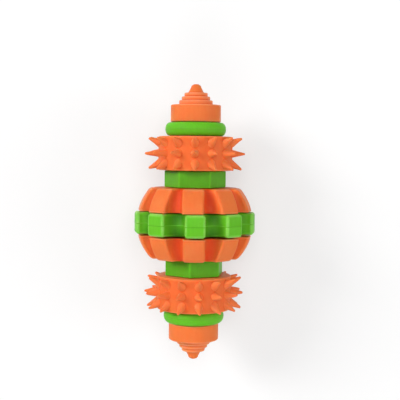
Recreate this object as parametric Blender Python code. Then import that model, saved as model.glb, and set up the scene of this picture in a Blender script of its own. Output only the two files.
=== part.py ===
"""Gear-shaped chew toy for a dog: rubber rings, spacers and gears that spin on a nylon axle.

Run with: blender --background --python part.py
Units are metres, +Z is up. The toy lies on its side with its axle along Y, and it stands on two
teeth of the centre gear. X = 0 and Y = 0 are the middle of the toy, Z = 0 is the ground.

Each piece is modelled upright, with its own axis on Z. An empty on the axle's axis lays the
whole stack down: the empty's +Z is the world's +Y, and its -Y is the world's +Z, called the
front here. The lower half repeats the pieces of the upper half, turned end for end.
"""

import math

import bmesh
import bpy
from mathutils import Vector

MM = 0.001

# Running gap between two neighbours on the axle, and the play that the whole stack has besides,
# all of which lies between the centre gear and the lower bevel gear
STACK_GAP = 0.3 * MM
STACK_PLAY = 0.5 * MM

# Axle: a smooth journal with a thinner threaded end at each side
AXLE_RADIUS = 6.0 * MM
AXLE_SHOULDER = 1.5 * MM
AXLE_CHAMFER = 0.4 * MM
BORE_CLEARANCE = 0.35 * MM
BORE_CHAMFER = 0.4 * MM

# Centre gear
TOOTH_COUNT = 9
GEAR_HEIGHT = 11.2 * MM
GEAR_FACE_DISTANCE = 30.4 * MM
GEAR_TOOTH_WIDTH = 9.9 * MM
GEAR_VALLEY_DEPTH = 7.2 * MM
GEAR_EDGE = 1.0 * MM

# Bevel gears: one lobe for each tooth of the centre gear, leaning in from the large end,
# which faces the centre gear
BEVEL_HEIGHT = 11.7 * MM
BEVEL_LARGE_DISTANCE = 28.4 * MM
BEVEL_SMALL_DISTANCE = 22.6 * MM
BEVEL_LEAN_POWER = 1.6
LOBE_WIDTH = 10.5 * MM
LOBE_VALLEY_LARGE = 6.2 * MM
LOBE_VALLEY_SMALL = 4.0 * MM
BEVEL_SMALL_EDGE = 1.2 * MM
BEVEL_LARGE_EDGE = 0.4 * MM

# Hex spacers
HEX_SIDES = 6
SPACER_HEIGHT = 8.3 * MM
SPACER_CORNER_RADIUS = 15.7 * MM
SPACER_CORNER_ROUND = 0.8 * MM
SPACER_EDGE = 0.5 * MM

# Spiked rings
SPIKED_HEIGHT = 17.1 * MM
SPIKED_RADIUS = 18.8 * MM
SPIKED_EDGE = 0.6 * MM
SPIKE_COLUMNS = 14
SPIKE_ROW_MARGIN = 1.2 * MM
SPIKE_BASE_RADIUS = 2.05 * MM
SPIKE_TIP_RADIUS = 0.5 * MM
SPIKE_LENGTH_MIDDLE = 6.7 * MM
SPIKE_LENGTH_OUTER = 5.6 * MM
SPIKE_FAN = math.radians(26.0)
SPIKE_ROOT = 1.0 * MM

# Round rings, with a rim rounded over its whole height
ROUND_RING_HEIGHT = 6.7 * MM
ROUND_RING_RADIUS = 15.4 * MM
ROUND_RING_RIM = 2.2 * MM

# Cone caps: a collar, then round steps, then a tip that tapers to a dome
COLLAR_HEIGHT = 8.6 * MM
COLLAR_RADIUS = 12.7 * MM
COLLAR_EDGE = 0.5 * MM
STEP_COUNT = 3
STEP_BASE_RADIUS = 8.5 * MM
STEP_IN = 1.3 * MM
STEP_FIRST_HEIGHT = 2.3 * MM
STEP_HEIGHT = 1.9 * MM
STEP_EDGE = 0.3 * MM
TIP_LEDGE = 1.9 * MM
TIP_TAPER = 1.4 * MM
TIP_TAPER_HEIGHT = 2.8 * MM
TIP_DOME_HEIGHT = 1.7 * MM

# Nylon insert moulded into each cap: a barrel, and a flange that holds it in the rubber
CAP_WALL = 2.2 * MM
CAP_CEILING = 1.6 * MM
INSERT_GAP = 0.3 * MM
FLANGE_WIDTH = 2.2 * MM
FLANGE_HEIGHT = 1.8 * MM
INSERT_CHAMFER = 0.4 * MM
THREAD_CLEARANCE = 0.3 * MM

# Turn of each piece about the axle, as it lies in the photo
UPPER_BEVEL_TURN = math.radians(-2.5)
LOWER_BEVEL_TURN = math.radians(-1.0)
UPPER_SPACER_TURN = math.radians(-1.5)
LOWER_SPACER_TURN = math.radians(21.5)
UPPER_SPIKED_TURN = math.radians(-1.6)
LOWER_SPIKED_TURN = math.radians(6.6)

# Facets
TURNED_SEGMENTS = 32
HIDDEN_SEGMENTS = 24
SPIKE_SIDES = 8
EDGE_STEPS = 2
RIM_STEPS = 6
VALLEY_STEPS = 6
LEAN_STEPS = 3
TIP_STEPS = 3
SHARP_ANGLE = math.radians(35.0)

AXLE_END_RADIUS = AXLE_RADIUS - AXLE_SHOULDER
BORE_RADIUS = AXLE_RADIUS + BORE_CLEARANCE
SPIKE_ROW_PITCH = SPIKED_HEIGHT / 2 - SPIKE_ROW_MARGIN - SPIKE_BASE_RADIUS
POCKET_RADIUS = COLLAR_RADIUS - CAP_WALL
POCKET_HEIGHT = COLLAR_HEIGHT - CAP_CEILING
FLANGE_RADIUS = POCKET_RADIUS - INSERT_GAP
BARREL_RADIUS = FLANGE_RADIUS - FLANGE_WIDTH
INSERT_HEIGHT = POCKET_HEIGHT - INSERT_GAP
BARREL_HEIGHT = INSERT_HEIGHT - FLANGE_HEIGHT

# The front of the laid-down toy is -Y of the upright stack
FRONT = math.radians(-90.0)

# Colours from the photo, linear
ORANGE = (0.83, 0.18, 0.05, 1.0)
GREEN = (0.10, 0.44, 0.04, 1.0)
NYLON = (0.75, 0.74, 0.70, 1.0)


def clear_scene():
    for item in list(bpy.data.objects):
        bpy.data.objects.remove(item, do_unlink=True)


def make_material(name, colour, roughness):
    material = bpy.data.materials.new(name)
    material.use_nodes = True
    shader = material.node_tree.nodes["Principled BSDF"]
    shader.inputs["Base Color"].default_value = colour
    shader.inputs["Roughness"].default_value = roughness
    shader.inputs["Metallic"].default_value = 0.0
    return material


def finish_mesh(name, mesh_builder):
    """Write a bmesh to a named mesh with outward faces and smooth round stretches."""
    bmesh.ops.recalc_face_normals(mesh_builder, faces=mesh_builder.faces)
    mesh = bpy.data.meshes.new(name)
    mesh_builder.to_mesh(mesh)
    mesh_builder.free()
    mesh.shade_smooth()
    mesh.set_sharp_from_angle(angle=SHARP_ANGLE)
    return mesh


def arc(centre_r, centre_z, radius_r, radius_z, start, end, steps):
    """Points of an elliptic arc in a turned profile, as (radius, height); angles in degrees."""
    points = []
    for i in range(steps + 1):
        angle = math.radians(start + (end - start) * i / steps)
        points.append((centre_r + radius_r * math.cos(angle), centre_z + radius_z * math.sin(angle)))
    return points


def chamfered_wall(radius, low, high, edge):
    """Outer wall of a turned profile between two heights, with both its edges broken."""
    return [(radius - edge, low), (radius, low + edge), (radius, high - edge), (radius - edge, high)]


def turned_mesh(name, profile, segments):
    """Spin a profile about Z. A closed profile gives a ring, one from axis to axis a solid."""
    solid = bmesh.new()
    on_axis = [radius < 1e-9 for radius, _ in profile]
    closed = not (on_axis[0] and on_axis[-1])
    columns = []
    poles = {}
    for i, (radius, height) in enumerate(profile):
        if on_axis[i]:
            poles[i] = solid.verts.new((0.0, 0.0, height))
    for step in range(segments):
        angle = 2 * math.pi * step / segments
        column = []
        for i, (radius, height) in enumerate(profile):
            if on_axis[i]:
                column.append(poles[i])
            else:
                column.append(solid.verts.new((radius * math.cos(angle), radius * math.sin(angle), height)))
        columns.append(column)
    pairs = len(profile) if closed else len(profile) - 1
    for step in range(segments):
        here = columns[step]
        there = columns[(step + 1) % segments]
        for i in range(pairs):
            j = (i + 1) % len(profile)
            corners = [here[i], there[i], there[j], here[j]]
            unique = list(dict.fromkeys(corners))
            if len(unique) > 2:
                solid.faces.new(unique)
    return finish_mesh(name, solid)


def lofted_mesh(name, sections):
    """Skin a list of (height, outline) sections of equal point count, with flat ends."""
    solid = bmesh.new()
    loops = []
    for height, outline in sections:
        loops.append([solid.verts.new((x, y, height)) for x, y in outline])
    count = len(loops[0])
    for low, high in zip(loops, loops[1:]):
        for i in range(count):
            j = (i + 1) % count
            solid.faces.new((low[i], low[j], high[j], high[i]))
    solid.faces.new(list(reversed(loops[0])))
    solid.faces.new(loops[-1])
    return finish_mesh(name, solid)


def toothed_outline(count, distance, width, valley_depth, corner, inset):
    """Outline of a gear: flat tooth faces, rounded corners and half-elliptic valleys.

    distance is from the axis to a tooth face, width is along the face and corner is the
    rounding of its ends. inset draws the whole outline in by that much.
    """
    pitch = 2 * math.pi / count
    half = width / 2
    floor = math.hypot(half, distance) * math.cos(pitch / 2 - math.atan2(half, distance))
    floor -= valley_depth + inset
    half -= inset
    face = distance - inset
    flank = face - corner
    flank_turn = pitch / 2 - math.atan2(half, flank)
    chord_half = math.hypot(half, flank) * math.sin(flank_turn)
    chord_distance = math.hypot(half, flank) * math.cos(flank_turn)
    points = []
    for tooth in range(count):
        middle = FRONT + tooth * pitch
        out = Vector((math.cos(middle), math.sin(middle)))
        along = Vector((-math.sin(middle), math.cos(middle)))
        for side in (-1, 1):
            for i in range(EDGE_STEPS + 1):
                share = i / EDGE_STEPS if side > 0 else 1 - i / EDGE_STEPS
                angle = math.radians(90 * share)
                across = side * (half - corner + corner * math.sin(angle))
                points.append(out * (flank + corner * math.cos(angle)) + along * across)
        between = middle + pitch / 2
        out = Vector((math.cos(between), math.sin(between)))
        along = Vector((-math.sin(between), math.cos(between)))
        for i in range(1, VALLEY_STEPS):
            angle = math.pi * i / VALLEY_STEPS
            deep = chord_distance - (chord_distance - floor) * math.sin(angle)
            points.append(out * deep - along * (chord_half * math.cos(angle)))
    return [(point.x, point.y) for point in points]


def bore_cutter(name, depth):
    """Cylinder with flared ends that cuts the axle hole through a piece of the given height."""
    past = BORE_CHAMFER
    flare = BORE_RADIUS + BORE_CHAMFER
    half = depth / 2
    profile = [
        (0.0, -half - past), (flare + past, -half - past), (BORE_RADIUS, -half + BORE_CHAMFER),
        (BORE_RADIUS, half - BORE_CHAMFER), (flare + past, half + past), (0.0, half + past),
    ]
    cutter = bpy.data.objects.new(name, turned_mesh(name, profile, HIDDEN_SEGMENTS))
    bpy.context.scene.collection.objects.link(cutter)
    cutter.hide_render = True
    cutter.display_type = "WIRE"
    return cutter


def centre_gear_mesh():
    half = GEAR_HEIGHT / 2
    sections = []
    for i in range(EDGE_STEPS + 1):
        angle = math.radians(90 * i / EDGE_STEPS)
        inset = GEAR_EDGE * (1 - math.sin(angle))
        sections.append((-half + GEAR_EDGE * (1 - math.cos(angle)), inset))
    sections += [(-height, inset) for height, inset in reversed(sections)]
    skin = []
    for height, inset in sections:
        outline = toothed_outline(TOOTH_COUNT, GEAR_FACE_DISTANCE, GEAR_TOOTH_WIDTH,
                                  GEAR_VALLEY_DEPTH, GEAR_EDGE, inset)
        skin.append((height, outline))
    return lofted_mesh("centre_gear", skin)


def bevel_gear_mesh():
    """Large end at the bottom, small end at the top."""
    half = BEVEL_HEIGHT / 2
    levels = [(0.0, BEVEL_LARGE_EDGE), (BEVEL_LARGE_EDGE, 0.0)]
    straight = BEVEL_HEIGHT - BEVEL_LARGE_EDGE - BEVEL_SMALL_EDGE
    for i in range(1, LEAN_STEPS):
        levels.append((BEVEL_LARGE_EDGE + straight * i / LEAN_STEPS, 0.0))
    for i in range(EDGE_STEPS + 1):
        angle = math.radians(90 * i / EDGE_STEPS)
        height = BEVEL_HEIGHT - BEVEL_SMALL_EDGE * (1 - math.sin(angle))
        levels.append((height, BEVEL_SMALL_EDGE * (1 - math.cos(angle))))
    skin = []
    for height, inset in levels:
        lean = (height / BEVEL_HEIGHT) ** BEVEL_LEAN_POWER
        distance = BEVEL_LARGE_DISTANCE + (BEVEL_SMALL_DISTANCE - BEVEL_LARGE_DISTANCE) * lean
        valley = LOBE_VALLEY_LARGE + (LOBE_VALLEY_SMALL - LOBE_VALLEY_LARGE) * lean
        outline = toothed_outline(TOOTH_COUNT, distance, LOBE_WIDTH, valley, BEVEL_LARGE_EDGE, inset)
        skin.append((height - half, outline))
    return lofted_mesh("bevel_gear", skin)


def hex_outline(inset):
    """Six flat sides with rounded corners; a flat side faces the front."""
    half_side = math.pi / HEX_SIDES
    apothem = SPACER_CORNER_RADIUS * math.cos(half_side) - inset
    corner_centre = (apothem - SPACER_CORNER_ROUND) / math.cos(half_side)
    points = []
    for side in range(HEX_SIDES):
        middle = FRONT + (2 * side + 1) * half_side
        for i in range(EDGE_STEPS + 1):
            angle = middle + half_side * (2 * i / EDGE_STEPS - 1)
            points.append((corner_centre * math.cos(middle) + SPACER_CORNER_ROUND * math.cos(angle),
                           corner_centre * math.sin(middle) + SPACER_CORNER_ROUND * math.sin(angle)))
    return points


def hex_spacer_mesh():
    half = SPACER_HEIGHT / 2
    sections = [
        (-half, hex_outline(SPACER_EDGE)), (-half + SPACER_EDGE, hex_outline(0.0)),
        (half - SPACER_EDGE, hex_outline(0.0)), (half, hex_outline(SPACER_EDGE)),
    ]
    return lofted_mesh("hex_spacer", sections)


def round_ring_mesh():
    half = ROUND_RING_HEIGHT / 2
    profile = [(BORE_RADIUS, -half + BORE_CHAMFER), (BORE_RADIUS + BORE_CHAMFER, -half)]
    profile += arc(ROUND_RING_RADIUS - ROUND_RING_RIM, 0.0, ROUND_RING_RIM, half, -90, 90, RIM_STEPS)
    profile += [(BORE_RADIUS + BORE_CHAMFER, half), (BORE_RADIUS, half - BORE_CHAMFER)]
    return turned_mesh("round_ring", profile, TURNED_SEGMENTS)


def spiked_body_mesh():
    half = SPIKED_HEIGHT / 2
    profile = [(BORE_RADIUS, -half + BORE_CHAMFER), (BORE_RADIUS + BORE_CHAMFER, -half)]
    profile += chamfered_wall(SPIKED_RADIUS, -half, half, SPIKED_EDGE)
    profile += [(BORE_RADIUS + BORE_CHAMFER, half), (BORE_RADIUS, half - BORE_CHAMFER)]
    return turned_mesh("spiked_ring", profile, TURNED_SEGMENTS)


def spikes_mesh():
    """Three rows of tapered spikes; the outer rows lean away from the middle one."""
    rows = [(-1, SPIKE_LENGTH_OUTER), (0, SPIKE_LENGTH_MIDDLE), (1, SPIKE_LENGTH_OUTER)]
    up = Vector((0.0, 0.0, 1.0))
    solid = bmesh.new()
    for row, length in rows:
        lean = row * SPIKE_FAN
        for column in range(SPIKE_COLUMNS):
            turn = FRONT + 2 * math.pi * column / SPIKE_COLUMNS
            out = Vector((math.cos(turn), math.sin(turn), 0.0))
            side = Vector((-math.sin(turn), math.cos(turn), 0.0))
            along = out * math.cos(lean) + up * math.sin(lean)
            across = up * math.cos(lean) - out * math.sin(lean)
            base = out * SPIKED_RADIUS + up * (row * SPIKE_ROW_PITCH)
            root = base - along * SPIKE_ROOT
            tip = base + along * length
            taper = (SPIKE_BASE_RADIUS - SPIKE_TIP_RADIUS) / length
            rings = []
            for centre, radius in ((root, SPIKE_BASE_RADIUS + taper * SPIKE_ROOT), (tip, SPIKE_TIP_RADIUS)):
                ring = []
                for i in range(SPIKE_SIDES):
                    angle = 2 * math.pi * i / SPIKE_SIDES
                    ring.append(solid.verts.new(centre + side * (radius * math.cos(angle))
                                                + across * (radius * math.sin(angle))))
                rings.append(ring)
            for i in range(SPIKE_SIDES):
                j = (i + 1) % SPIKE_SIDES
                solid.faces.new((rings[0][i], rings[0][j], rings[1][j], rings[1][i]))
            solid.faces.new(list(reversed(rings[0])))
            solid.faces.new(rings[1])
    return finish_mesh("spikes", solid)


def cap_profile():
    """From the ceiling of the insert's pocket, round the collar and the steps, to the tip."""
    mouth = BARREL_RADIUS + INSERT_GAP
    lip = BARREL_HEIGHT - INSERT_GAP
    profile = [(0.0, POCKET_HEIGHT), (POCKET_RADIUS, POCKET_HEIGHT), (POCKET_RADIUS, lip)]
    profile += [(mouth, lip), (mouth, 0.0)]
    profile += chamfered_wall(COLLAR_RADIUS, 0.0, COLLAR_HEIGHT, COLLAR_EDGE)
    height = COLLAR_HEIGHT
    radius = STEP_BASE_RADIUS
    for step in range(STEP_COUNT):
        top = height + (STEP_FIRST_HEIGHT if step == 0 else STEP_HEIGHT)
        profile += [(radius, height), (radius, top - STEP_EDGE), (radius - STEP_EDGE, top)]
        height = top
        radius -= STEP_IN
    tip = radius + STEP_IN - TIP_LEDGE
    profile.append((tip, height))
    height += TIP_TAPER_HEIGHT
    profile += arc(0.0, height, tip - TIP_TAPER, TIP_DOME_HEIGHT, 0, 90, TIP_STEPS)[:-1]
    profile.append((0.0, height + TIP_DOME_HEIGHT))
    return profile


def cone_cap_mesh():
    """Base at Z = 0, tip up."""
    return turned_mesh("cone_cap", cap_profile(), TURNED_SEGMENTS)


def cap_insert_mesh():
    """Base at Z = 0, flange up, with the hole that the axle's end screws into."""
    hole = AXLE_END_RADIUS + THREAD_CLEARANCE
    profile = [
        (hole, INSERT_CHAMFER), (hole + INSERT_CHAMFER, 0.0), (BARREL_RADIUS, 0.0),
        (BARREL_RADIUS, BARREL_HEIGHT), (FLANGE_RADIUS, BARREL_HEIGHT),
        (FLANGE_RADIUS, INSERT_HEIGHT), (hole, INSERT_HEIGHT),
    ]
    return turned_mesh("cap_insert", profile, HIDDEN_SEGMENTS)


def axle_mesh(shoulder):
    """shoulder is the distance from the middle of the axle to the end of its journal."""
    end = shoulder + STACK_GAP + INSERT_HEIGHT
    upper = [
        (AXLE_RADIUS, shoulder - AXLE_CHAMFER), (AXLE_RADIUS - AXLE_CHAMFER, shoulder),
        (AXLE_END_RADIUS, shoulder), (AXLE_END_RADIUS, end - AXLE_CHAMFER),
        (AXLE_END_RADIUS - AXLE_CHAMFER, end), (0.0, end),
    ]
    lower = [(radius, -height) for radius, height in reversed(upper)]
    return turned_mesh("axle", lower + upper, HIDDEN_SEGMENTS)


def add_piece(name, mesh, material, stack, height, flipped, turn):
    """Place a piece on the stack; a flipped one is turned end for end."""
    piece = bpy.data.objects.new(name, mesh)
    bpy.context.scene.collection.objects.link(piece)
    piece.parent = stack
    piece.location = (0.0, 0.0, height)
    piece.rotation_euler = (0.0, math.pi if flipped else 0.0, turn)
    if not mesh.materials:
        mesh.materials.append(material)
    return piece


def add_boolean(piece, tool, operation):
    tool.parent = piece
    boolean = piece.modifiers.new(operation.lower(), "BOOLEAN")
    boolean.operation = operation
    boolean.solver = "EXACT"
    boolean.object = tool


def build_toy():
    clear_scene()
    orange = make_material("orange_rubber", ORANGE, 0.45)
    green = make_material("green_rubber", GREEN, 0.45)
    nylon = make_material("nylon", NYLON, 0.5)

    outline = toothed_outline(TOOTH_COUNT, GEAR_FACE_DISTANCE, GEAR_TOOTH_WIDTH,
                              GEAR_VALLEY_DEPTH, GEAR_EDGE, 0.0)
    # the stack's +Y points down once it is laid on its side
    axis_height = max(y for _, y in outline)
    stack = bpy.data.objects.new("stack", None)
    bpy.context.scene.collection.objects.link(stack)
    stack.location = (0.0, STACK_PLAY / 2, axis_height)
    stack.rotation_euler = (math.radians(-90.0), 0.0, 0.0)

    gear = add_piece("centre_gear", centre_gear_mesh(), green, stack, 0.0, False, 0.0)
    add_boolean(gear, bore_cutter("centre_gear_bore", GEAR_HEIGHT), "DIFFERENCE")

    # the pieces of one half, from the centre gear outwards
    bevel = (bevel_gear_mesh(), orange, BEVEL_HEIGHT)
    spacer = (hex_spacer_mesh(), green, SPACER_HEIGHT)
    spiked = (spiked_body_mesh(), orange, SPIKED_HEIGHT)
    ring = (round_ring_mesh(), green, ROUND_RING_HEIGHT)
    cap = cone_cap_mesh()
    insert = cap_insert_mesh()
    halves = (
        ("upper", 1, UPPER_BEVEL_TURN, UPPER_SPACER_TURN, UPPER_SPIKED_TURN),
        ("lower", -1, LOWER_BEVEL_TURN, LOWER_SPACER_TURN, LOWER_SPIKED_TURN),
    )
    for half, sign, bevel_turn, spacer_turn, spiked_turn in halves:
        pieces = (
            ("bevel_gear", bevel, bevel_turn), ("hex_spacer", spacer, spacer_turn),
            ("spiked_ring", spiked, spiked_turn), ("round_ring", ring, 0.0),
        )
        top = GEAR_HEIGHT / 2 + (STACK_PLAY if sign < 0 else 0.0)
        for kind, (mesh, material, height), turn in pieces:
            middle = top + STACK_GAP + height / 2
            top = middle + height / 2
            name = f"{half}_{kind}"
            piece = add_piece(name, mesh, material, stack, sign * middle, sign < 0, turn)
            if kind in ("bevel_gear", "hex_spacer"):
                add_boolean(piece, bore_cutter(f"{name}_bore", height), "DIFFERENCE")
            if kind == "spiked_ring":
                spikes = bpy.data.objects.new(f"{name}_spikes", spikes_mesh())
                bpy.context.scene.collection.objects.link(spikes)
                spikes.hide_render = True
                spikes.display_type = "WIRE"
                add_boolean(piece, spikes, "UNION")
        base = top + STACK_GAP
        add_piece(f"{half}_cone_cap", cap, orange, stack, sign * base, sign < 0, 0.0)
        add_piece(f"{half}_cap_insert", insert, nylon, stack, sign * base, sign < 0, 0.0)
    rings = GEAR_HEIGHT / 2 + sum(STACK_GAP + piece[2] for piece in (bevel, spacer, spiked, ring))
    add_piece("axle", axle_mesh(rings + STACK_PLAY / 2), nylon, stack, -STACK_PLAY / 2, False, 0.0)


build_toy()
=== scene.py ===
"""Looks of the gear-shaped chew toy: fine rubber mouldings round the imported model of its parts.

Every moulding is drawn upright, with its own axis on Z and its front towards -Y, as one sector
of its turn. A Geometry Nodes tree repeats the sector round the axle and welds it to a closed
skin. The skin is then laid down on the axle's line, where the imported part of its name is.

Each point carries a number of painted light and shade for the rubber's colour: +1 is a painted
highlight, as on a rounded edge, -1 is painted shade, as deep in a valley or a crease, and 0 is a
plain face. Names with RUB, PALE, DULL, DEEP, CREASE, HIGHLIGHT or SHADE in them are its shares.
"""

import math

import bmesh
import bpy
import numpy as np
from mathutils import Matrix, Vector
from mathutils.geometry import delaunay_2d_cdt


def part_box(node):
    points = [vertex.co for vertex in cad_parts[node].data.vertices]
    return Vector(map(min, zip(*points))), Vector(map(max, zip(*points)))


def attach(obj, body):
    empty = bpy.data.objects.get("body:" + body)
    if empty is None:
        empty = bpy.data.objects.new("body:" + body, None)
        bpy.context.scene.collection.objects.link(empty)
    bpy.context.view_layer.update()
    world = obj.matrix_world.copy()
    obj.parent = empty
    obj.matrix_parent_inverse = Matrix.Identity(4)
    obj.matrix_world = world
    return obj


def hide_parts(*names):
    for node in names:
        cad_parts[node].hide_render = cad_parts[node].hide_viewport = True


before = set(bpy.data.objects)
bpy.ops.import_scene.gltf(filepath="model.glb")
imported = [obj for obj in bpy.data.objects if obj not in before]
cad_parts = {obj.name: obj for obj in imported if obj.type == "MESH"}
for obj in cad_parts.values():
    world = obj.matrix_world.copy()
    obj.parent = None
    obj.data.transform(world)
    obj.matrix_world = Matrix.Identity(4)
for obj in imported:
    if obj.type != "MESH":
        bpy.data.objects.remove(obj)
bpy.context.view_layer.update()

MM = 0.001
WELD = 0.0005 * MM

# The axle's hole through every ring
BORE_RADIUS = 6.35 * MM
BORE_CHAMFER = 0.4 * MM

# Centre gear
TOOTH_COUNT = 9
GEAR_FACE_DISTANCE = 30.4 * MM
GEAR_TOOTH_WIDTH = 9.9 * MM
GEAR_VALLEY_DEPTH = 7.2 * MM
GEAR_CORNER = 1.3 * MM
GEAR_EDGE = 1.5 * MM
# Painted highlight on the teeth's corners and rounded edges, and painted shade down the valleys
GEAR_CORNER_HIGHLIGHT = 0.5
GEAR_EDGE_HIGHLIGHT = 0.75
GEAR_VALLEY_SHADE = 0.9

# Bevel gears, large end first
BEVEL_LARGE_DISTANCE = 28.4 * MM
BEVEL_SMALL_DISTANCE = 22.6 * MM
BEVEL_LEAN_POWER = 1.6
LOBE_WIDTH = 10.5 * MM
LOBE_VALLEY_LARGE = 6.2 * MM
LOBE_VALLEY_SMALL = 4.0 * MM
LOBE_CORNER = 1.2 * MM
BEVEL_SMALL_EDGE = 1.2 * MM
BEVEL_LARGE_EDGE = 0.3 * MM
BEVEL_RIM_HEIGHT = 0.9 * MM
BEVEL_RIM_PROUD = 0.1 * MM
BEVEL_RIM_GROOVE = 0.03 * MM
# Painted highlight on the lobes' rounded edges, and painted shade down the valleys
LOBE_EDGE_HIGHLIGHT = 0.55
LOBE_VALLEY_SHADE = 0.65

# Mould line: the fin that is left where the mould's halves meet, its nibs at the corners of teeth, and
# the painted highlight on it in a valley and the painted shade under it on a tooth
FIN_PROUD = 0.12 * MM
FIN_HALF_HEIGHT = 0.17 * MM
NIB_PROUD = 0.22 * MM
NIB_SPREAD = 0.45 * MM
FIN_HIGHLIGHT_IN_VALLEY = 0.5
FIN_SHADE_ON_TOOTH = -0.4

# Hex spacers
HEX_SIDES = 6
SPACER_CORNER_RADIUS = 15.7 * MM
SPACER_CORNER_ROUND = 0.8 * MM
SPACER_EDGE = 0.5 * MM
# Painted highlight on the rounded corners and edges, and painted shade over the whole spacer, which sits
# recessed between the rings
SPACER_CORNER_HIGHLIGHT = 0.2
SPACER_EDGE_HIGHLIGHT = 0.4
SPACER_SHADE = 0.3

# Round rings
ROUND_RING_RIM = 2.2 * MM

# Spiked rings. Noise bends each spike a little, by the square of its height over the ring
SPIKED_RADIUS = 18.8 * MM
SPIKED_EDGE = 0.6 * MM
# Painted highlight on the ring's rounded edges
SPIKED_EDGE_HIGHLIGHT = 0.2
SPIKE_COLUMNS = 14
SPIKE_ROW_PITCH = 5.3 * MM
SPIKE_BASE_RADIUS = 2.05 * MM
SPIKE_TIP_RADIUS = 0.5 * MM
SPIKE_LENGTHS = (5.6 * MM, 6.7 * MM, 5.6 * MM)
SPIKE_FAN = math.radians(26.0)
SPIKE_FLARE = 0.25 * MM
SPIKE_FLARE_RISE = 1.4
SPIKE_SWAY = 50.0
SPIKE_SWAY_SCALE = 140.0
FOOT_CLEAR = 0.2 * MM
SPIKE_SEEDS = {"upper": 4, "lower": 9}
# Painted light: spikes painted lighter, painted shade over the wall between them, and deeper painted shade in
# the crease round each foot
SPIKE_HIGHLIGHT = 0.15
WALL_SHADE = -0.2
FOOT_CREASE_SHADE = 1.3

# Cone caps
COLLAR_HEIGHT = 8.6 * MM
COLLAR_EDGE = 0.5 * MM
# Painted highlights on the collar's rounded foot and top
COLLAR_FOOT_HIGHLIGHT = 0.3
COLLAR_TOP_HIGHLIGHT = 0.6
STEP_COUNT = 3
STEP_BASE_RADIUS = 8.5 * MM
STEP_IN = 1.3 * MM
STEP_FIRST_HEIGHT = 2.3 * MM
STEP_HEIGHT = 1.9 * MM
STEP_ROUND = 0.35 * MM
STEP_FILLET = 0.2 * MM
# Painted highlight on each step's rounded edge, and painted shade in the crease at its foot
STEP_HIGHLIGHT = 0.7
STEP_CREASE_SHADE = -0.8
TIP_LEDGE = 1.9 * MM
TIP_TAPER = 1.4 * MM
TIP_TAPER_HEIGHT = 2.8 * MM
# Painted shade in the crease at the tip's foot, and a painted highlight on its top
TIP_CREASE_SHADE = -0.6
TIP_HIGHLIGHT = 0.3
CAP_WALL = 2.2 * MM
CAP_CEILING = 1.6 * MM

# Turn of each piece about the axle, in degrees. A spacer is drawn with a corner to the front
TURNS = {
    "upper_bevel_gear": -2.5, "lower_bevel_gear": -1.0,
    "upper_hex_spacer": 28.5, "lower_hex_spacer": 51.5,
    "upper_spiked_ring": -1.6, "lower_spiked_ring": 6.6,
}

# Edges: least radius of a corner whose outline is drawn in, and inset of the outermost points on a
# piece's flat end, in radii of the edge
LEAST_CORNER = 0.25 * MM
END_INSET = 1.3

# Facets
EDGE_STEPS = 6
CORNER_STEPS = 6
FACE_STEPS = 4
VALLEY_STEPS = 16
LEAN_STEPS = 14
TURNED_SECTORS = 160
SPIKE_SIDES = 24
WALL_STEPS = 10
WALL_ROWS = 20
BISECT_STEPS = 30
SHARP_ANGLE = math.radians(40.0)

# Camera, fitted to the photo: 850 pixels of focal length on a picture 400 pixels wide
PICTURE_WIDTH = 400
FOCAL_PIXELS = 850.0
SENSOR_WIDTH = 36.0
CAMERA_X = 2.6 * MM
CAMERA_Y = 35.8 * MM
CAMERA_ABOVE_AXIS = 433.0 * MM
CAMERA_PITCH = math.radians(3.2)
CAMERA_ROLL = math.radians(0.67)
CAMERA_ORBIT = math.radians(-0.9)
CAMERA_CLIP = (0.01, 20.0)

# Light: strength of the room's even light, paint of the floor, and how much light the camera sees added
# to it. Far from the toy the floor fades to the white of the room, so no horizon shows
ROOM_LIGHT = 0.16
FLOOR_PAINT = (0.5, 0.5, 0.5, 1.0)
WHITE = (1.0, 1.0, 1.0, 1.0)
FLOOR_LIFT = 0.47
FLOOR_FADE_START = 0.25
FLOOR_FADE_WIDTH = 0.9
FLOOR_HALF_WIDTH = 3.0

# Lamps: name, place with its height over the axle, size and brightness
LAMPS = (
    ("key", (-1.9, 0.95, 1.3), 0.9, 0.67),
    ("top", (0.16, 0.8, 3.0), 1.8, 0.38),
    ("fill", (2.1, -0.2, 1.05), 1.4, 0.36),
    ("low", (-0.2, -2.4, 1.5), 1.6, 0.27),
)

# Rubber: plain colour, colour of the painted shade in deep places, which random clouds also mix in,
# and colour of painted highlights and of dust
ORANGE = (0.87, 0.215, 0.054, 1.0)
ORANGE_SHADE_AND_CLOUD = (0.70, 0.026, 0.002, 1.0)
ORANGE_HIGHLIGHT_AND_DUST = (0.95, 0.40, 0.20, 1.0)
GREEN = (0.145, 0.55, 0.022, 1.0)
GREEN_SHADE_AND_CLOUD = (0.03, 0.17, 0.003, 1.0)
GREEN_HIGHLIGHT_AND_DUST = (0.42, 0.78, 0.20, 1.0)

# Noises in the rubber and the nylon, by how many features fit in a metre. Streaks run along the axle
CLOUD_SCALE = 90.0
MOTTLE_SCALE = 600.0
GRAIN_SCALE = 3000.0
WAVE_SCALE = 170.0
STREAK_SCALE = (900.0, 60.0, 900.0)
DUST_SCALE = 230.0
DUST_SIZE = 0.03

# Relief of the surface itself
RUBBER_BUMP = 0.06 * MM
NYLON_BUMP = 0.03 * MM

# Nylon
AXLE_NYLON = (0.75, 0.73, 0.68, 1.0)
INSERT_NYLON = (0.72, 0.70, 0.66, 1.0)
NYLON_GLOW_DEPTH = 1.5 * MM

# How far light strays inside the rubber, and each colour's share of that depth
GLOW_DEPTH = 0.7 * MM
ORANGE_GLOW = (1.0, 0.35, 0.15)
GREEN_GLOW = (0.3, 0.8, 0.1)

axle_low, axle_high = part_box("axle")
axis_height = (axle_low.z + axle_high.z) / 2


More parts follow.
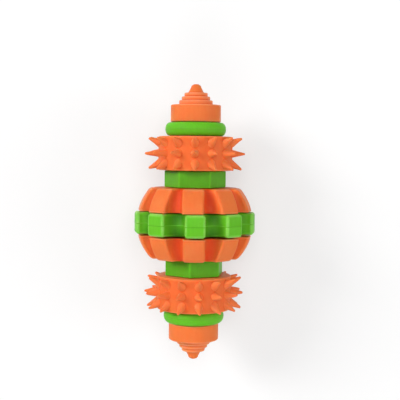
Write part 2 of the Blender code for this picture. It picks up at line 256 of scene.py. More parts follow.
class Link:
    """An output in a node tree. Operators between links and numbers add Math nodes."""

    def __init__(self, graph, socket):
        self.graph = graph
        self.socket = socket

    def sibling(self, output):
        """Another output of the same node."""
        return Link(self.graph, self.socket.node.outputs[output])

    def clamped(self):
        return self.graph.math("ADD", self, 0.0, clamp=True)

    def __add__(self, other):
        return self.graph.math("ADD", self, other)

    def __sub__(self, other):
        return self.graph.math("SUBTRACT", self, other)

    def __rsub__(self, other):
        return self.graph.math("SUBTRACT", other, self)

    def __mul__(self, other):
        return self.graph.math("MULTIPLY", self, other)

    def __truediv__(self, other):
        return self.graph.math("DIVIDE", self, other)

    def __pow__(self, other):
        return self.graph.math("POWER", self, other)

    def __neg__(self):
        return self.graph.math("MULTIPLY", self, -1.0)

    __radd__ = __add__
    __rmul__ = __mul__


class Graph:
    """One node tree. add() makes every node in it."""

    def __init__(self, tree):
        self.tree = tree

    def add(self, kind, settings=None, values=None, output=0):
        """Make a node, set it up, fill its sockets with numbers or links, and return one output."""
        node = self.tree.nodes.new(kind)
        for name, value in (settings or {}).items():
            setattr(node, name, value)
        for name, value in (values or {}).items():
            if isinstance(value, Link):
                self.tree.links.new(value.socket, node.inputs[name])
            else:
                node.inputs[name].default_value = value
        return Link(self, node.outputs[output]) if node.outputs else None

    def math(self, operation, *values, clamp=False):
        settings = {"operation": operation, "use_clamp": clamp}
        return self.add("ShaderNodeMath", settings, dict(enumerate(values)))

    def tint(self, share, one, other):
        """Mix two colours."""
        return self.add("ShaderNodeMix", {"data_type": "RGBA"}, {0: share, 6: one, 7: other}, 2)

    def noise(self, place, scale, detail):
        return self.add("ShaderNodeTexNoise", None, {"Vector": place, "Scale": scale, "Detail": detail})

    def streaks(self, place, detail):
        along = self.add("ShaderNodeMapping", None, {"Vector": place, "Scale": STREAK_SCALE})
        return self.noise(along, 1.0, detail)

    def seen(self):
        """1 on a ray that comes from the camera, a mirror or glass, and 0 on one that gathers soft light."""
        path = self.add("ShaderNodeLightPath", output="Is Camera Ray")
        direct_or_mirrored = self.math("MAXIMUM", path, path.sibling("Is Glossy Ray"))
        return self.math("MAXIMUM", direct_or_mirrored, path.sibling("Is Transmission Ray"))


def new_material(name):
    material = bpy.data.materials.new(name)
    material.use_nodes = True
    material.node_tree.nodes.clear()
    return material, Graph(material.node_tree)


def rubber(name, plain, deep, highlight_and_dust, glow):
    """Satin moulded rubber: cloudy colour, painted highlights on edges and painted shade in hollows, specks
    of dust, fine grain and soft waves.
    """
    material, graph = new_material(name)
    place = graph.add("ShaderNodeTexCoord", output="Object")
    painted_light = graph.add("ShaderNodeAttribute", {"attribute_name": "painted_light"}, output="Fac")
    cloud = graph.noise(place, CLOUD_SCALE, 3.0)
    mottle = graph.noise(place, MOTTLE_SCALE, 2.0)
    grain = graph.noise(place, GRAIN_SCALE, 2.0)
    waves = graph.noise(place, WAVE_SCALE, 1.0)
    dust = graph.add("ShaderNodeTexVoronoi", None, {"Vector": place, "Scale": DUST_SCALE})
    painted_shade = (-painted_light).clamped()
    edge = painted_light.clamped()
    streak = graph.streaks(place, 2.0)
    cloudy = ((cloud * 0.4 + mottle * 0.3 + streak * 0.3 - 0.42) * 1.8).clamped()
    speck = ((DUST_SIZE - dust) * 60.0).clamped()
    # Painted shade in valleys, creases and recesses, and random clouds of the same deeper colour
    colour = graph.tint((painted_shade + cloudy * 0.3).clamped(), plain, deep)
    # Painted highlights on edges and spikes, and specks of dust
    colour = graph.tint((edge * (0.35 + 0.9 * mottle) + speck * 0.6).clamped(), colour, highlight_and_dust)
    height = grain * 0.2 + mottle * 0.4 + waves * 1.5
    bump = graph.add("ShaderNodeBump", None, {"Height": height, "Strength": 0.4, "Distance": RUBBER_BUMP})
    shader = graph.add("ShaderNodeBsdfPrincipled", None, {
        "Base Color": colour, "Roughness": 0.36 + 0.16 * cloud, "Normal": bump,
        "Specular IOR Level": 0.1, "Subsurface Weight": 0.6, "Subsurface Scale": GLOW_DEPTH,
        "Subsurface Radius": glow,
    })
    graph.add("ShaderNodeOutputMaterial", None, {"Surface": shader})
    return material


def nylon(name, colour, roughness):
    """Natural nylon: waxy, faintly streaked along the axle."""
    material, graph = new_material(name)
    place = graph.add("ShaderNodeTexCoord", output="Object")
    streak = graph.streaks(place, 3.0)
    darker = [channel * 0.86 for channel in colour[:3]] + [1.0]
    bump = graph.add("ShaderNodeBump", None, {"Height": streak, "Strength": 0.3, "Distance": NYLON_BUMP})
    shader = graph.add("ShaderNodeBsdfPrincipled", None, {
        "Base Color": graph.tint(streak, colour, darker), "Roughness": roughness + 0.1 * streak,
        "Normal": bump, "Subsurface Weight": 0.15, "Subsurface Scale": NYLON_GLOW_DEPTH,
    })
    graph.add("ShaderNodeOutputMaterial", None, {"Surface": shader})
    return material


def polar(radius, angle):
    """Point at an angle from the front, which is -Y."""
    return np.array((radius * math.sin(angle), -radius * math.cos(angle)))


def arc(centre_r, centre_z, radius_r, radius_z, start, end, steps, painted_light=0.0):
    """Points of an elliptic arc in a turned profile, as (radius, height, painted light); angles in degrees.
    """
    angles = np.radians(np.linspace(start, end, steps + 1))
    return [(centre_r + radius_r * math.cos(a), centre_z + radius_z * math.sin(a), painted_light) for a in angles]


def new_mesh(name, vertices, faces, painted_light):
    mesh = bpy.data.meshes.new(name)
    mesh.from_pydata([tuple(v) for v in vertices], [], faces)
    attribute = mesh.attributes.new("painted_light", "FLOAT", "POINT")
    attribute.data.foreach_set("value", np.array(painted_light, dtype=np.float32))
    return mesh


def tooth_outline(distance, width, valley_depth, corner):
    """One tooth's part of a gear's outline, from valley to valley: points, normals, and place along it.

    The tooth faces the front, its face is flat, and each valley is half an ellipse. The place is
    0 on the face, 1 on the rounded corner, and falls from 0 to -1 down the valley.
    """
    half_pitch = math.pi / TOOTH_COUNT
    half = width / 2
    flank = distance - corner
    reach = math.hypot(half, flank)
    turn = half_pitch - math.atan2(half, flank)
    chord_half = reach * math.sin(turn)
    chord_distance = reach * math.cos(turn)
    floor = math.hypot(half, distance) * math.cos(half_pitch - math.atan2(half, distance)) - valley_depth
    depth = chord_distance - floor
    right = [((half - corner) * i / FACE_STEPS, -distance, 0.0, -1.0, 0.0) for i in range(1, FACE_STEPS)]
    for i in range(CORNER_STEPS):
        angle = math.pi / 2 * i / CORNER_STEPS
        side, out = math.sin(angle), math.cos(angle)
        place = min(1.0, 2.0 * side)
        right.append((half - corner + corner * side, -(flank + corner * out), side, -out, place))
    outward = polar(1.0, half_pitch)
    along = np.array((math.cos(half_pitch), math.sin(half_pitch)))
    for i in range(VALLEY_STEPS + 1):
        angle = math.pi / 2 * i / VALLEY_STEPS
        point = outward * (chord_distance - depth * math.sin(angle)) - along * chord_half * math.cos(angle)
        normal = outward * chord_half * math.sin(angle) + along * depth * math.cos(angle)
        normal = normal / np.linalg.norm(normal)
        if i == 0:
            normal = (normal + (1.0, 0.0)) / np.linalg.norm(normal + (1.0, 0.0))
        right.append((*point, *normal, 1.0 if i == 0 else -math.sin(angle) ** 1.5))
    right = np.array(right)
    left = right[::-1] * (-1.0, 1.0, -1.0, 1.0, 1.0)
    outline = np.vstack((left, [(0.0, -distance, 0.0, -1.0, 0.0)], right))
    return outline[:, :2], outline[:, 2:4], outline[:, 4]


def inset_outline(distance, width, valley_depth, corner, inset):
    """Tooth outline drawn in by an inset all along, with corners that tighten but never fold.

    The floor of the valley comes in by the inset too.
    """
    half_pitch = math.pi / TOOTH_COUNT
    floor_shift = inset * (1 - math.cos(half_pitch) - math.sin(half_pitch))
    tight = max(corner - inset, LEAST_CORNER)
    return tooth_outline(distance - inset, width - 2 * inset, valley_depth + floor_shift, tight)


def near_corner(points, width):
    """How near each point of a tooth's outline is to an end of its face, from 0 to 1."""
    away = np.hypot(np.abs(points[:, 0]) - width / 2, points[:, 1] - points[:, 1].min())
    return np.exp(-(away / NIB_SPREAD) ** 2)


def sector_mesh(name, levels):
    """Skin one sector of a bored piece: levels are (height, points, painted light), from the low end up."""
    vertices, painted_light, rows = [], [], []

    def add_row(height, points, values):
        rows.append(range(len(vertices), len(vertices) + len(points)))
        vertices.extend((x, y, height) for x, y in points)
        painted_light.extend(np.broadcast_to(values, len(points)))

    def bore_row(points, radius):
        ends = [math.atan2(points[i][0], -points[i][1]) for i in (0, -1)]
        return [polar(radius, angle) for angle in np.linspace(*ends, len(points))]

    for level in levels:
        add_row(*level)
    (low, low_points, _), (high, high_points, _) = levels[0], levels[-1]
    add_row(high, bore_row(high_points, BORE_RADIUS + BORE_CHAMFER), 0.0)
    add_row(high - BORE_CHAMFER, bore_row(high_points, BORE_RADIUS), 0.0)
    add_row(low + BORE_CHAMFER, bore_row(low_points, BORE_RADIUS), 0.0)
    add_row(low, bore_row(low_points, BORE_RADIUS + BORE_CHAMFER), 0.0)
    faces = []
    for lower, upper in zip(rows, [*rows[1:], rows[0]]):
        for i in range(len(lower) - 1):
            faces.append((lower[i], lower[i + 1], upper[i + 1], upper[i]))
    return new_mesh(name, vertices, faces, painted_light)


def slice_mesh(name, profile):
    """One thin slice of a turned piece. Its profile is a loop, up the outside and down the inside."""
    half = math.pi / TURNED_SECTORS
    vertices = [(*polar(radius, angle), height) for radius, height, _ in profile for angle in (-half, half)]
    painted_light = [value for *_, value in profile for _ in range(2)]
    faces = []
    for i in range(len(profile)):
        j = (i + 1) % len(profile)
        corners = [2 * i, 2 * i + 1, 2 * j + 1, 2 * j]
        if profile[i][0] == 0.0:
            corners.remove(2 * i + 1)
        if profile[j][0] == 0.0:
            corners.remove(2 * j + 1)
        if len(corners) > 2:
            faces.append(corners)
    return new_mesh(name, vertices, faces, painted_light)


def edge_levels(low, high, low_edge, high_edge):
    """Up the wall of a piece whose two ends are rounded: (height, inset, share of an edge)."""
    quarter = [math.pi / 2 * i / EDGE_STEPS for i in range(EDGE_STEPS + 1)]
    rounding = [(1 - math.cos(angle), 1 - math.sin(angle), math.cos(angle)) for angle in quarter]
    levels = [(low, low_edge * END_INSET, 0.0)]
    for rise, inset, share in rounding:
        levels.append((low + low_edge * rise, low_edge * inset, share))
    for rise, inset, share in reversed(rounding):
        levels.append((high - high_edge * rise, high_edge * inset, share))
    return [*levels, (high, high_edge * END_INSET, 0.0)]


def gear_sector():
    """Centre gear: rounded square teeth, with the mould's fin round the middle."""
    low, high = span("centre_gear")
    half = (high - low) / 2
    gear = (GEAR_FACE_DISTANCE, GEAR_TOOTH_WIDTH, GEAR_VALLEY_DEPTH, GEAR_CORNER)
    points, normals, place = inset_outline(*gear, 0.0)
    corner = place * GEAR_CORNER_HIGHLIGHT
    valley = np.minimum(place, 0.0)
    fin = FIN_PROUD + NIB_PROUD * near_corner(points, GEAR_TOOTH_WIDTH)
    line = np.where(place < 0, FIN_HIGHLIGHT_IN_VALLEY, FIN_SHADE_ON_TOOTH)
    levels = []
    for height, inset, edge in edge_levels(-half, half, GEAR_EDGE, GEAR_EDGE):
        # Painted highlight on corners and rounded edges, painted shade down the valleys
        painted_light = np.maximum(corner, edge * (1.0 + valley)) * GEAR_EDGE_HIGHLIGHT + valley * GEAR_VALLEY_SHADE
        levels.append((height, inset_outline(*gear, inset)[0], painted_light))
    middle = len(levels) // 2
    # The fin, with painted shade under it on a tooth and a painted highlight on it in a valley
    levels[middle:middle] = [
        (-3 * FIN_HALF_HEIGHT, points, corner),
        (-FIN_HALF_HEIGHT, points, np.minimum(corner, line)),
        (0.0, points + normals * fin[:, None], np.maximum(corner, line)),
        (FIN_HALF_HEIGHT, points, corner),
    ]
    return sector_mesh("centre_gear_sector", levels)


def bevel_sector():
    """Bevel gear: nine lobes that lean in from the large end, which has a thin moulded rim."""
    low, high = span("upper_bevel_gear")
    height = high - low
    rows = edge_levels(0.0, height, BEVEL_LARGE_EDGE, BEVEL_SMALL_EDGE)
    first_above_edge = EDGE_STEPS + 2
    # The rim stands proud, and a fine groove parts it from the lobe: (height, inset, share of an edge).
    # The share paints a highlight on the rim, and painted shade in the groove where it is below 0.
    rim = [
        (BEVEL_RIM_HEIGHT * 0.45, -BEVEL_RIM_PROUD, 0.3),
        (BEVEL_RIM_HEIGHT * 0.75, -BEVEL_RIM_PROUD * 0.8, 0.9),
        (BEVEL_RIM_HEIGHT * 0.92, 0.0, 0.0),
        (BEVEL_RIM_HEIGHT, BEVEL_RIM_GROOVE, -0.9),
        (BEVEL_RIM_HEIGHT * 1.15, 0.0, 0.0),
    ]
    rise = np.linspace(BEVEL_RIM_HEIGHT * 1.5, height - BEVEL_SMALL_EDGE * 1.1, LEAN_STEPS)
    rows[first_above_edge:first_above_edge] = rim + [(level, 0.0, 0.0) for level in rise]
    levels = []
    for level, inset, edge in rows:
        lean = (level / height) ** BEVEL_LEAN_POWER
        distance = BEVEL_LARGE_DISTANCE + (BEVEL_SMALL_DISTANCE - BEVEL_LARGE_DISTANCE) * lean
        valley = LOBE_VALLEY_LARGE + (LOBE_VALLEY_SMALL - LOBE_VALLEY_LARGE) * lean
        points, normals, place = inset_outline(distance, LOBE_WIDTH, valley, LOBE_CORNER, inset)
        in_rim = math.exp(-((level - BEVEL_RIM_HEIGHT * 0.45) / FIN_HALF_HEIGHT) ** 2)
        nib = NIB_PROUD * in_rim * near_corner(points, LOBE_WIDTH)
        deep = np.minimum(place, 0.0)
        # Painted shade down the valleys, painted highlight on the rounded edges
        painted_light = deep * LOBE_VALLEY_SHADE + edge * LOBE_EDGE_HIGHLIGHT * (1.0 + deep)
        levels.append((level - height / 2, points + normals * nib[:, None], painted_light))
    return sector_mesh("bevel_gear_sector", levels)


def hex_sector():
    """One rounded corner of a hex spacer with half a side at each hand."""
    low, high = span("upper_hex_spacer")
    half = (high - low) / 2
    half_side = math.pi / HEX_SIDES
    apothem = SPACER_CORNER_RADIUS * math.cos(half_side)
    reach = (apothem - SPACER_CORNER_ROUND) / math.cos(half_side)
    right = []
    for i in range(CORNER_STEPS + 1):
        angle = half_side * i / CORNER_STEPS
        corner = polar(reach, 0.0) + polar(SPACER_CORNER_ROUND, angle)
        right.append((*corner, *polar(1.0, angle), SPACER_CORNER_HIGHLIGHT))
    start, end = np.array(right[-1][:2]), polar(apothem, half_side)
    for share in (0.04, 0.3, 0.65, 1.0):
        right.append((*(start + (end - start) * share), *polar(1.0, half_side), 0.0))
    right = np.array(right)
    outline = np.vstack((right[:0:-1] * (-1.0, 1.0, -1.0, 1.0, 1.0), right))
    levels = []
    for height, inset, edge in edge_levels(-half, half, SPACER_EDGE, SPACER_EDGE):
        # Painted highlight on corners and edges, less the painted shade over the whole spacer
        painted_light = np.maximum(outline[:, 4], SPACER_EDGE_HIGHLIGHT * edge) - SPACER_SHADE
        levels.append((height, outline[:, :2] - outline[:, 2:4] * inset, painted_light))
    return sector_mesh("hex_spacer_sector", levels)


def ring_profile():
    """Round ring: a rim rounded over its whole height, with a fine mould line round it."""
    low, high = span("upper_round_ring")
    half = (high - low) / 2
    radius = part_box("upper_round_ring")[1].x
    rim = arc(radius - ROUND_RING_RIM, 0.0, ROUND_RING_RIM, half, -90, 90, 6 * EDGE_STEPS)
    middle = len(rim) // 2
    # The mould line, with painted shade under it and a painted highlight on it
    rim[middle:middle + 1] = [
        (radius, -0.12 * MM, 0.0), (radius - 0.02 * MM, -0.03 * MM, -0.7),
        (radius, 0.06 * MM, 0.5), (radius, 0.14 * MM, 0.0),
    ]
    bore = [(BORE_RADIUS, -half + BORE_CHAMFER, 0.0), (BORE_RADIUS + BORE_CHAMFER, -half, 0.0)]
    return bore + rim + [(radius, -height, value) for radius, height, value in reversed(bore)]


def cap_profile():
    """Cone cap, base at Z = 0: pocket for the insert, collar, round steps and a tapered tip."""
    low, high = span("upper_cone_cap")
    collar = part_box("upper_cone_cap")[1].x
    pocket = collar - CAP_WALL
    ceiling = COLLAR_HEIGHT - CAP_CEILING
    edge = COLLAR_EDGE
    profile = [(0.0, ceiling, 0.0), (pocket, ceiling, 0.0), (pocket, 0.0, 0.0)]
    profile += arc(collar - edge, edge, edge, edge, -90, 0, EDGE_STEPS, COLLAR_FOOT_HIGHLIGHT)
    wall = (edge * END_INSET, COLLAR_HEIGHT / 2, COLLAR_HEIGHT - edge * END_INSET)
    profile += [(collar, height, 0.0) for height in wall]
    profile += arc(collar - edge, COLLAR_HEIGHT - edge, edge, edge, 0, 90, EDGE_STEPS, COLLAR_TOP_HIGHLIGHT)
    height = COLLAR_HEIGHT
    radius = STEP_BASE_RADIUS
    fillet = STEP_FILLET
    profile.append((collar - 1.4 * edge, height, 0.0))
    for step in range(STEP_COUNT):
        top = height + (STEP_FIRST_HEIGHT if step == 0 else STEP_HEIGHT)
        # Painted shade in the crease at the foot of the step, and a painted highlight on its rounded edge
        profile += arc(radius + fillet, height + fillet, fillet, fillet, 270, 180, 3, STEP_CREASE_SHADE)
        profile.append((radius, height + 2.5 * fillet, 0.0))
        rounding = STEP_ROUND
        profile += arc(radius - rounding, top - rounding, rounding, rounding, 0, 90, EDGE_STEPS, STEP_HIGHLIGHT)
        height = top
        radius -= STEP_IN
    tip = radius + STEP_IN - TIP_LEDGE
    dome = high - low - height - TIP_TAPER_HEIGHT
    profile += arc(tip + fillet, height + fillet, fillet, fillet, 270, 205, 3, TIP_CREASE_SHADE)
    profile.append((tip - TIP_TAPER * 0.25, height + TIP_TAPER_HEIGHT * 0.25, 0.0))
    profile += arc(0.0, height + TIP_TAPER_HEIGHT, tip - TIP_TAPER, dome, 0, 90, 10)
    profile[-1] = (0.0, high - low, TIP_HIGHLIGHT)
    return profile


def spike_columns(row, flat):
    """Lines of points up one tapered spike, from its foot on the wall to its rounded tip, and the tip."""
    lean = row * SPIKE_FAN
    length = SPIKE_LENGTHS[row + 1]
    out, side, up = Vector((0, -1, 0)), Vector((1, 0, 0)), Vector((0, 0, 1))
    along = out * math.cos(lean) + up * math.sin(lean)
    across = up * math.cos(lean) - out * math.sin(lean)
    base = out * SPIKED_RADIUS + up * (row * SPIKE_ROW_PITCH)
    taper = (SPIKE_BASE_RADIUS - SPIKE_TIP_RADIUS) / length
    end = length - SPIKE_TIP_RADIUS
    shoulder = SPIKE_BASE_RADIUS - taper * end
    highest = flat - FOOT_CLEAR / 2
    columns = []
    for i in range(SPIKE_SIDES):
        angle = 2 * math.pi * i / SPIKE_SIDES
        spoke = side * math.cos(angle) + across * math.sin(angle)

        def on_cone(distance):
            return base + along * distance + spoke * (SPIKE_BASE_RADIUS - taper * distance)

        low, high = -length, length
        for _ in range(BISECT_STEPS):
            middle = (low + high) / 2
            if on_cone(middle).xy.length < SPIKED_RADIUS:
                low = middle
            else:
                high = middle
        foot = on_cone(low)
        out_here = Vector((foot.x, foot.y, 0)).normalized()
        away = foot - base
        away -= out_here * away.dot(out_here)
        skirt = foot + away.normalized() * SPIKE_FLARE
        skirt = Vector((*(skirt.xy.normalized() * SPIKED_RADIUS), max(-highest, min(highest, skirt.z))))
        start = low + SPIKE_FLARE * SPIKE_FLARE_RISE
        risen = on_cone(start)
        column = []
        # Round the foot the paint goes from the wall's painted shade, through deeper painted shade in the
        # crease, to the spike's painted light
        for share in (0.0, 0.25, 0.5, 0.75, 1.0):
            crease = share * (1 - share)
            bend = skirt * (1 - share) ** 2 + foot * (2 * crease) + risen * share ** 2
            column.append((bend, WALL_SHADE + (SPIKE_HIGHLIGHT - WALL_SHADE) * share - FOOT_CREASE_SHADE * crease))
        for share in (0.25, 0.5, 0.75, 1.0):
            column.append((on_cone(start + (end - start) * share), SPIKE_HIGHLIGHT))
        for rise in np.radians((22.5, 45.0, 67.5)):
            centre = base + along * (end + shoulder * math.sin(rise))
            column.append((centre + spoke * shoulder * math.cos(rise), SPIKE_HIGHLIGHT))
        columns.append(column)
    return columns, base + along * (end + shoulder)


def wall_round_feet(angles, flat, feet):
    """Cover one sector of the ring's wall round the feet of its spikes: points and triangles."""
    loops = [np.array([(SPIKED_RADIUS * math.atan2(p.x, -p.y), p.z) for p in foot]) for foot in feet]
    sides = SPIKED_RADIUS * angles
    rows = np.linspace(-flat, flat, WALL_ROWS + 1)
    points = [tuple(point) for loop in loops for point in loop]
    foot_points = len(points)
    for i, side in enumerate(sides):
        for j, height in enumerate(rows):
            clear = True
            for loop in loops:
                centre = loop.mean(axis=0)
                nearest = loop[np.argmin(np.hypot(*(loop - (side, height)).T))]
                clear &= math.dist((side, height), centre) > math.dist(nearest, centre) + FOOT_CLEAR
            if clear or i in (0, WALL_STEPS) or j in (0, WALL_ROWS):
                points.append((side, height))
    links = [(start + i, start + (i + 1) % SPIKE_SIDES)
             for start in range(0, foot_points, SPIKE_SIDES) for i in range(SPIKE_SIDES)]
    flat_points = [Vector(point) / MM for point in points]
    covered, _, triangles, origins, *_ = delaunay_2d_cdt(flat_points, links, [], 0, 1e-5)
    owners = [ids[0] // SPIKE_SIDES if ids[0] < foot_points else -ids[0] for ids in origins]
    triangles = [triangle for triangle in triangles if len({owners[i] for i in triangle}) > 1]
    return [(*polar(SPIKED_RADIUS, x * MM / SPIKED_RADIUS), y * MM) for x, y in covered], triangles


def spiked_sector():
    """One column of three spikes with its share of the ring, as one skin."""
    low, high = span("upper_spiked_ring")
    half = (high - low) / 2
    edge = SPIKED_EDGE
    flat = half - edge
    bore = [(BORE_RADIUS + BORE_CHAMFER, half, 0.0), (BORE_RADIUS, half - BORE_CHAMFER, 0.0)]
    rim = arc(SPIKED_RADIUS - edge, flat, edge, edge, 0, 90, EDGE_STEPS, SPIKED_EDGE_HIGHLIGHT) + bore
    rim += [(radius, -height, value) for radius, height, value in reversed(rim)]
    angles = np.linspace(-math.pi / SPIKE_COLUMNS, math.pi / SPIKE_COLUMNS, WALL_STEPS + 1)
    vertices = [(*polar(radius, angle), height) for angle in angles for radius, height, _ in rim]
    painted_light = [value for _ in angles for *_, value in rim]
    faces = []
    for step in range(WALL_STEPS):
        here, there = step * len(rim), (step + 1) * len(rim)
        faces.extend((here + i, there + i, there + i + 1, here + i + 1) for i in range(len(rim) - 1))
    feet = []
    for row in (-1, 0, 1):
        columns, tip = spike_columns(row, flat)
        rings = len(columns[0])
        start = len(vertices)
        for column in columns:
            vertices.extend(point for point, _ in column)
            painted_light.extend(value for _, value in column)
        vertices.append(tip)
        painted_light.append(SPIKE_HIGHLIGHT)
        for i in range(SPIKE_SIDES):
            here = start + i * rings
            there = start + ((i + 1) % SPIKE_SIDES) * rings
            for k in range(rings - 1):
                faces.append((here + k, there + k, there + k + 1, here + k + 1))
            faces.append((here + rings - 1, there + rings - 1, len(vertices) - 1))
        feet.append([column[0][0] for column in columns])
    wall, triangles = wall_round_feet(angles, flat, feet)
    start = len(vertices)
    vertices.extend(wall)
    # Painted shade over the wall round the feet
    painted_light.extend([WALL_SHADE] * len(wall))
    faces.extend([start + i for i in triangle] for triangle in triangles)
    return new_mesh("spiked_ring_sector", vertices, faces, painted_light)


def repeat_tree():
    """Geometry Nodes: repeat a sector round Z, weld it, sway what stands proud, and finish it."""
    tree = bpy.data.node_groups.new("repeat round the axle", "GeometryNodeTree")
    sockets = {}
    for name, kind, default in (
        ("Sector", "NodeSocketGeometry", None), ("Copies", "NodeSocketInt", 9),
        ("Weld distance", "NodeSocketFloat", WELD), ("Body radius", "NodeSocketFloat", 1.0),
        ("Sway", "NodeSocketFloat", 0.0), ("Seed", "NodeSocketInt", 0),
        ("Finish", "NodeSocketMaterial", None),
    ):
        socket = tree.interface.new_socket(name, in_out="INPUT", socket_type=kind)
        if default is not None:
            socket.default_value = default
        sockets[name] = socket.identifier
    tree.interface.new_socket("Moulding", in_out="OUTPUT", socket_type="NodeSocketGeometry")
    graph = Graph(tree)
    sector = graph.add("NodeGroupInput", output="Sector")
    copies = sector.sibling("Copies")
    turn = graph.add("GeometryNodeInputIndex") * (2 * math.pi) / copies
    rotation = graph.add("FunctionNodeAxisAngleToRotation", None, {"Axis": (0.0, 0.0, 1.0), "Angle": turn})
    points = graph.add("GeometryNodePoints", None, {"Count": copies})
    whole = graph.add("GeometryNodeInstanceOnPoints", None,
                      {"Points": points, "Instance": sector, "Rotation": rotation})
    whole = graph.add("GeometryNodeRealizeInstances", None, {"Geometry": whole})
    weld = {"Geometry": whole, "Distance": sector.sibling("Weld distance")}
    whole = graph.add("GeometryNodeMergeByDistance", None, weld)
    position = graph.add("GeometryNodeInputPosition")
    drift = {"Vector": position, "W": sector.sibling("Seed"), "Scale": SPIKE_SWAY_SCALE, "Detail": 0.0}
    drift = graph.add("ShaderNodeTexNoise", {"noise_dimensions": "4D"}, drift, "Color")
    push = graph.add("ShaderNodeVectorMath", {"operation": "SUBTRACT"}, {0: drift, 1: (0.5, 0.5, 0.5)})
    x = graph.add("ShaderNodeSeparateXYZ", None, {0: position})
    y = x.sibling("Y")
    proud = graph.math("MAXIMUM", (x * x + y * y) ** 0.5 - sector.sibling("Body radius"), 0.0)
    bend = {0: push, "Scale": proud * proud * sector.sibling("Sway")}
    shift = graph.add("ShaderNodeVectorMath", {"operation": "SCALE"}, bend)
    swayed = graph.add("GeometryNodeSetPosition", None, {"Geometry": whole, "Offset": shift})
    coat = {"Geometry": swayed, "Material": sector.sibling("Finish")}
    finished = graph.add("GeometryNodeSetMaterial", None, coat)
    graph.add("NodeGroupOutput", None, {"Moulding": finished})
    return tree, sockets


def span(node):
    """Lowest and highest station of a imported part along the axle."""
    low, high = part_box(node)
    return low.y, high.y


def lay_down(node):
    """Transform from the upright drawing to the part's place on the axle."""
    flipped = node.startswith("lower")
    low, high = span(node)
    station = (low + high) / 2
    if node.endswith("cone_cap"):
        station = high if flipped else low
    down = Matrix.Translation((0.0, station, axis_height)) @ Matrix.Rotation(math.radians(-90.0), 4, "X")
    down = down @ Matrix.Rotation(math.radians(TURNS.get(node, 0.0)), 4, "Z")
    return down @ Matrix.Rotation(math.pi, 4, "Y") if flipped else down


def repeated(sector, copies, slot, extra):
    """Run the repeat tree on a sector and return the whole moulding as a plain mesh."""
    tree, sockets = REPEAT
    source = bpy.data.objects.new("moulding", sector)
    bpy.context.scene.collection.objects.link(source)
    modifier = source.modifiers.new("repeat", "NODES")
    modifier.node_group = tree
    for name, value in {"Copies": copies, "Finish": FINISHES[slot], **extra}.items():
        modifier[sockets[name]] = value
    bpy.context.view_layer.update()
    depsgraph = bpy.context.evaluated_depsgraph_get()
    mesh = bpy.data.meshes.new_from_object(source.evaluated_get(depsgraph), depsgraph=depsgraph)
    bpy.data.objects.remove(source)
    return mesh


def mould(node, sector, slot, copies, **extra):
    """Repeat a sector to a whole moulding, lay it in its part's place and let it stand for the part."""
    mesh = repeated(sector, copies, slot, {name.replace("_", " "): value for name, value in extra.items()})
    solid = bmesh.new()
    solid.from_mesh(mesh)
    solid.transform(lay_down(node))
    solid.to_mesh(mesh)
    solid.free()
    mesh.name = f"{node}_rubber"
    mesh.shade_smooth()
    mesh.set_sharp_from_angle(angle=SHARP_ANGLE)
    piece = bpy.data.objects.new(f"{node}_rubber", mesh)
    bpy.context.scene.collection.objects.link(piece)
    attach(piece, "axle_and_caps" if node.endswith("cone_cap") else node)
    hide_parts(node)


def soft_light(name, place, size, brightness):
    """Square lamp aimed at the toy. The brightness is what a white surface that faces it shows."""
    target = Vector((0.0, 0.0, axis_height))
    away = Vector(place) - target
    lamp = bpy.data.lights.new(name, "AREA")
    lamp.size = size
    lamp.energy = brightness * (math.pi * away.length) ** 2
    holder = bpy.data.objects.new(name, lamp)
    bpy.context.scene.collection.objects.link(holder)
    holder.location = place
    holder.rotation_euler = (-away).to_track_quat("-Z", "Y").to_euler()
    holder.visible_camera = False


def pale_floor():
    """Wide white floor. The camera sees it a little lifted, so that it is white and keeps the shadow."""
    material, graph = new_material("pale_floor")
    seen = graph.seen()
    paint = graph.add("ShaderNodeBsdfDiffuse", None, {"Color": FLOOR_PAINT})
    lift = graph.add("ShaderNodeEmission", None, {"Strength": seen * FLOOR_LIFT})
    near = graph.add("ShaderNodeAddShader", None, {0: paint, 1: lift})
    white = graph.add("ShaderNodeEmission", None, {"Strength": 1.0})
    place = graph.add("ShaderNodeTexCoord", output="Object")
    away = graph.add("ShaderNodeVectorMath", {"operation": "LENGTH"}, {0: place}, "Value")
    fade = ((away - FLOOR_FADE_START) / FLOOR_FADE_WIDTH).clamped() * seen
    surface = graph.add("ShaderNodeMixShader", None, {0: fade, 1: near, 2: white})
    graph.add("ShaderNodeOutputMaterial", None, {"Surface": surface})
    half = FLOOR_HALF_WIDTH
    mesh = bpy.data.meshes.new("floor")
    corners = [(-half, -half, 0), (half, -half, 0), (half, half, 0), (-half, half, 0)]
    mesh.from_pydata(corners, [], [(0, 1, 2, 3)])
    mesh.materials.append(material)
    floor = bpy.data.objects.new("floor", mesh)
    bpy.context.scene.collection.objects.link(floor)


def studio_room():
    """White behind the toy, and a soft even light from all round."""
    world = bpy.data.worlds.new("studio")
    bpy.context.scene.world = world
    world.use_nodes = True
    world.node_tree.nodes.clear()
    graph = Graph(world.node_tree)
    seen = graph.seen()
    light = graph.add("ShaderNodeBackground", None, {"Color": WHITE, "Strength": ROOM_LIGHT})
    white = graph.add("ShaderNodeBackground", None, {"Color": WHITE, "Strength": 1.0})
    surface = graph.add("ShaderNodeMixShader", None, {0: seen, 1: light, 2: white})
    graph.add("ShaderNodeOutputWorld", None, {"Surface": surface})


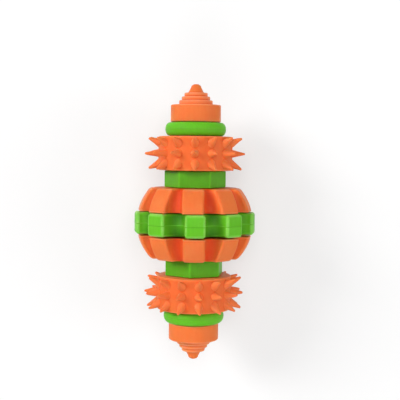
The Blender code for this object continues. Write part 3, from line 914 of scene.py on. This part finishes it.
def photo_camera():
    """Camera over the toy at the photo's angle, swung a little round the axle."""
    data = bpy.data.cameras.new("camera")
    data.sensor_width = SENSOR_WIDTH
    data.lens = FOCAL_PIXELS * SENSOR_WIDTH / PICTURE_WIDTH
    data.clip_start, data.clip_end = CAMERA_CLIP
    camera = bpy.data.objects.new("camera", data)
    bpy.context.scene.collection.objects.link(camera)
    look = Vector((0.0, -math.sin(CAMERA_PITCH), -math.cos(CAMERA_PITCH)))
    level_up = Vector((0.0, math.cos(CAMERA_PITCH), -math.sin(CAMERA_PITCH)))
    right = Vector((1.0, 0.0, 0.0)) * math.cos(CAMERA_ROLL) + level_up * math.sin(CAMERA_ROLL)
    up = level_up * math.cos(CAMERA_ROLL) - Vector((1.0, 0.0, 0.0)) * math.sin(CAMERA_ROLL)
    aim = Matrix((right, up, -look)).transposed().to_4x4()
    stand = Matrix.Translation((CAMERA_X, CAMERA_Y, CAMERA_ABOVE_AXIS)) @ aim
    swing = Matrix.Translation((0.0, 0.0, axis_height)) @ Matrix.Rotation(CAMERA_ORBIT, 4, "Y")
    camera.matrix_world = swing @ stand
    bpy.context.scene.camera = camera


FINISHES = {
    "orange_rubber": rubber("satin_orange_rubber", ORANGE, ORANGE_SHADE_AND_CLOUD, ORANGE_HIGHLIGHT_AND_DUST, ORANGE_GLOW),
    "green_rubber": rubber("satin_green_rubber", GREEN, GREEN_SHADE_AND_CLOUD, GREEN_HIGHLIGHT_AND_DUST, GREEN_GLOW),
    "axle_nylon": nylon("smooth_axle_nylon", AXLE_NYLON, 0.35),
    "insert_nylon": nylon("moulded_insert_nylon", INSERT_NYLON, 0.45),
}
REPEAT = repeat_tree()

cap = cap_profile()
mould("centre_gear", gear_sector(), "green_rubber", TOOTH_COUNT)
for end in ("upper", "lower"):
    mould(f"{end}_bevel_gear", bevel_sector(), "orange_rubber", TOOTH_COUNT)
    mould(f"{end}_hex_spacer", hex_sector(), "green_rubber", HEX_SIDES)
    mould(f"{end}_spiked_ring", spiked_sector(), "orange_rubber", SPIKE_COLUMNS,
          Body_radius=SPIKED_RADIUS, Sway=SPIKE_SWAY, Seed=SPIKE_SEEDS[end])
    mould(f"{end}_round_ring", slice_mesh("round_ring_slice", ring_profile()), "green_rubber", TURNED_SECTORS)
    mould(f"{end}_cone_cap", slice_mesh("cone_cap_slice", cap), "orange_rubber", TURNED_SECTORS)

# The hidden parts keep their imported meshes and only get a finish
HIDDEN_PARTS = {"axle": "axle_nylon", "upper_cap_insert": "insert_nylon", "lower_cap_insert": "insert_nylon"}
for node, slot in HIDDEN_PARTS.items():
    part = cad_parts[node]
    part.data.materials.clear()
    part.data.materials.append(FINISHES[slot])

pale_floor()
studio_room()
for name, (x, y, above), size, brightness in LAMPS:
    soft_light(name, (x, y, axis_height + above), size, brightness)
photo_camera()
bpy.context.scene.view_settings.view_transform = "Standard"
